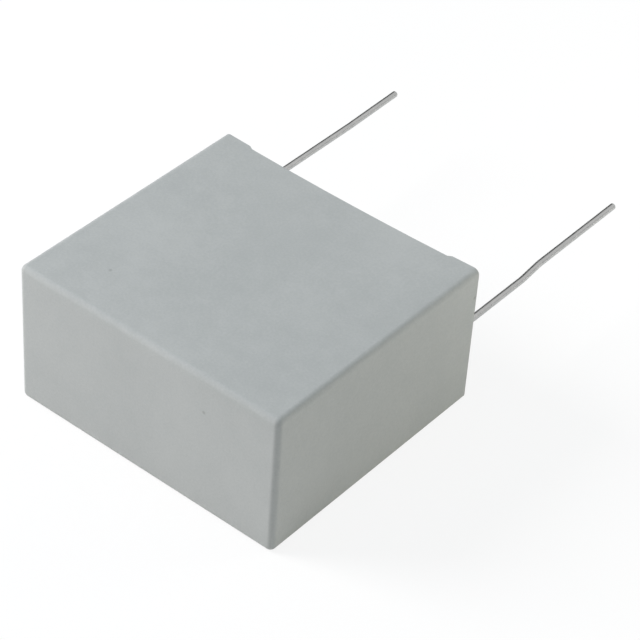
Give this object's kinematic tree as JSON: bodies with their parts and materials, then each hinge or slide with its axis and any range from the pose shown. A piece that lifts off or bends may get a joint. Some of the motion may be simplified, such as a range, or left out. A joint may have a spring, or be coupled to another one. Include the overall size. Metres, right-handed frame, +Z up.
{
  "type": "box film capacitor",
  "caption": "Boxed film capacitor with a moulded case, potted lead side, stand-off feet at both ends and straight wire leads that leave one side.",
  "frame": {"origin": "centre of the large flat face that the capacitor lies on", "axes": "+X along the row of the two leads, from the left lead to the right one; +Y the way the leads leave the case; +Z up, across the thickness of the box"},
  "size_m": [0.0414, 0.073, 0.0212],
  "materials": {
    "case": "light grey moulded thermoplastic, fine matt texture",
    "potting_resin": "filled epoxy, cast, slightly glossy with a soft meniscus",
    "film_winding": "metallised plastic film, tightly wound and pressed flat",
    "end_contact": "flame-sprayed zinc, rough and matt",
    "lead": "tinned copper wire, drawn, dull silver"
  },
  "bodies": {
    "root": {"case": "case", "potting_resin": "potting_resin", "film_winding": "film_winding", "left_end_contact": "end_contact", "right_end_contact": "end_contact", "left_lead": "lead", "right_lead": "lead"}
  },
  "joints": []
}
